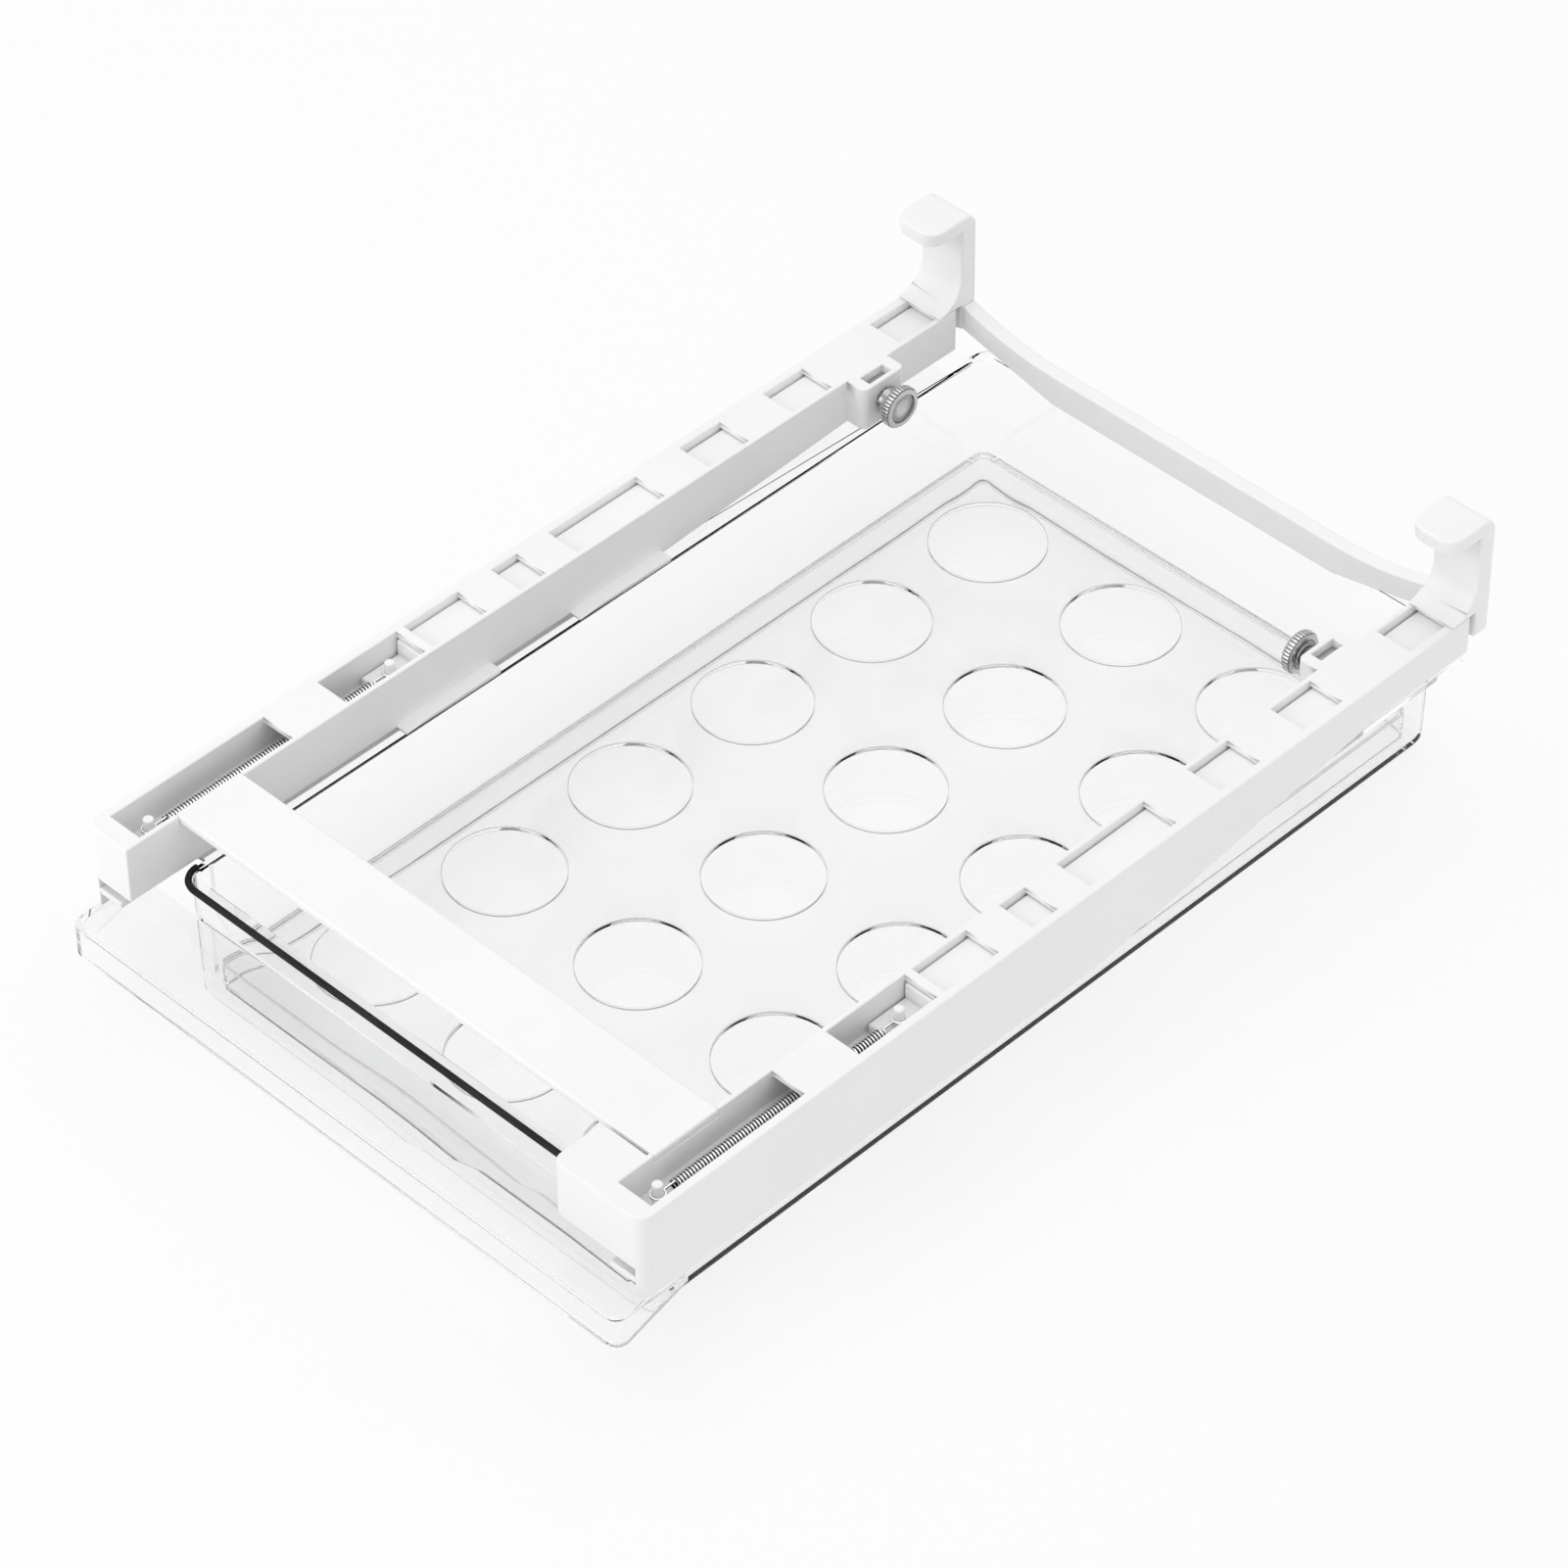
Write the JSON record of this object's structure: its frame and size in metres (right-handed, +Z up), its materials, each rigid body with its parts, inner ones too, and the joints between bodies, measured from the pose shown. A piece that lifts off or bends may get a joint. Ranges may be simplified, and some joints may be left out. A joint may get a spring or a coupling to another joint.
{
  "type": "under-shelf storage drawer",
  "caption": "Clear pull-out egg drawer hung under a refrigerator shelf on a white channel frame with sprung, thumbscrew-locked rear hooks.",
  "frame": {"origin": "centre of the bounding box at the underside of the drawer", "axes": "+X to the right seen from the front, +Y to the rear, where the hooks are, +Z up"},
  "size_m": [0.2, 0.3248, 0.0894],
  "materials": {
    "frame_plastic": "fine matte moulding",
    "spring_steel": "drawn wire",
    "bright_metal": "bright plated",
    "nut_steel": "plated",
    "clear_plastic": "clear moulding"
  },
  "bodies": {
    "frame": {"left_rail": "frame_plastic", "right_rail": "frame_plastic", "front_crossbar": "frame_plastic", "left_clamp_nut": "nut_steel", "right_clamp_nut": "nut_steel", "left_spring": "spring_steel", "right_spring": "spring_steel"},
    "hook_frame": {"left_slider": "frame_plastic", "right_slider": "frame_plastic", "rear_crossbar": "frame_plastic"},
    "drawer": {"drawer_basin": "clear_plastic", "cup_tray": "clear_plastic"},
    "left_screw": {"left_thumbscrew": "bright_metal"},
    "right_screw": {"right_thumbscrew": "bright_metal"}
  },
  "joints": [
    {"name": "drawer_pull", "type": "slide", "parent": "frame", "child": "drawer", "axis": [0, -1, 0], "range_m": [0, 0.2]},
    {"name": "hook_reach", "type": "slide", "parent": "frame", "child": "hook_frame", "axis": [0, 1, 0], "range_m": [0, 0.09], "stiffness_N_per_m": 60, "springref_m": -0.02, "deforming": ["left_spring", "right_spring"]},
    {"name": "left_screw_turn", "type": "hinge", "parent": "frame", "child": "left_screw", "pos_m": [-0.078, 0.1151, 0.0529], "axis": [1, 0, 0], "range_deg": [0, 540]},
    {"name": "right_screw_turn", "type": "hinge", "parent": "frame", "child": "right_screw", "pos_m": [0.078, 0.1151, 0.0529], "axis": [-1, 0, 0], "range_deg": [0, 540]}
  ]
}
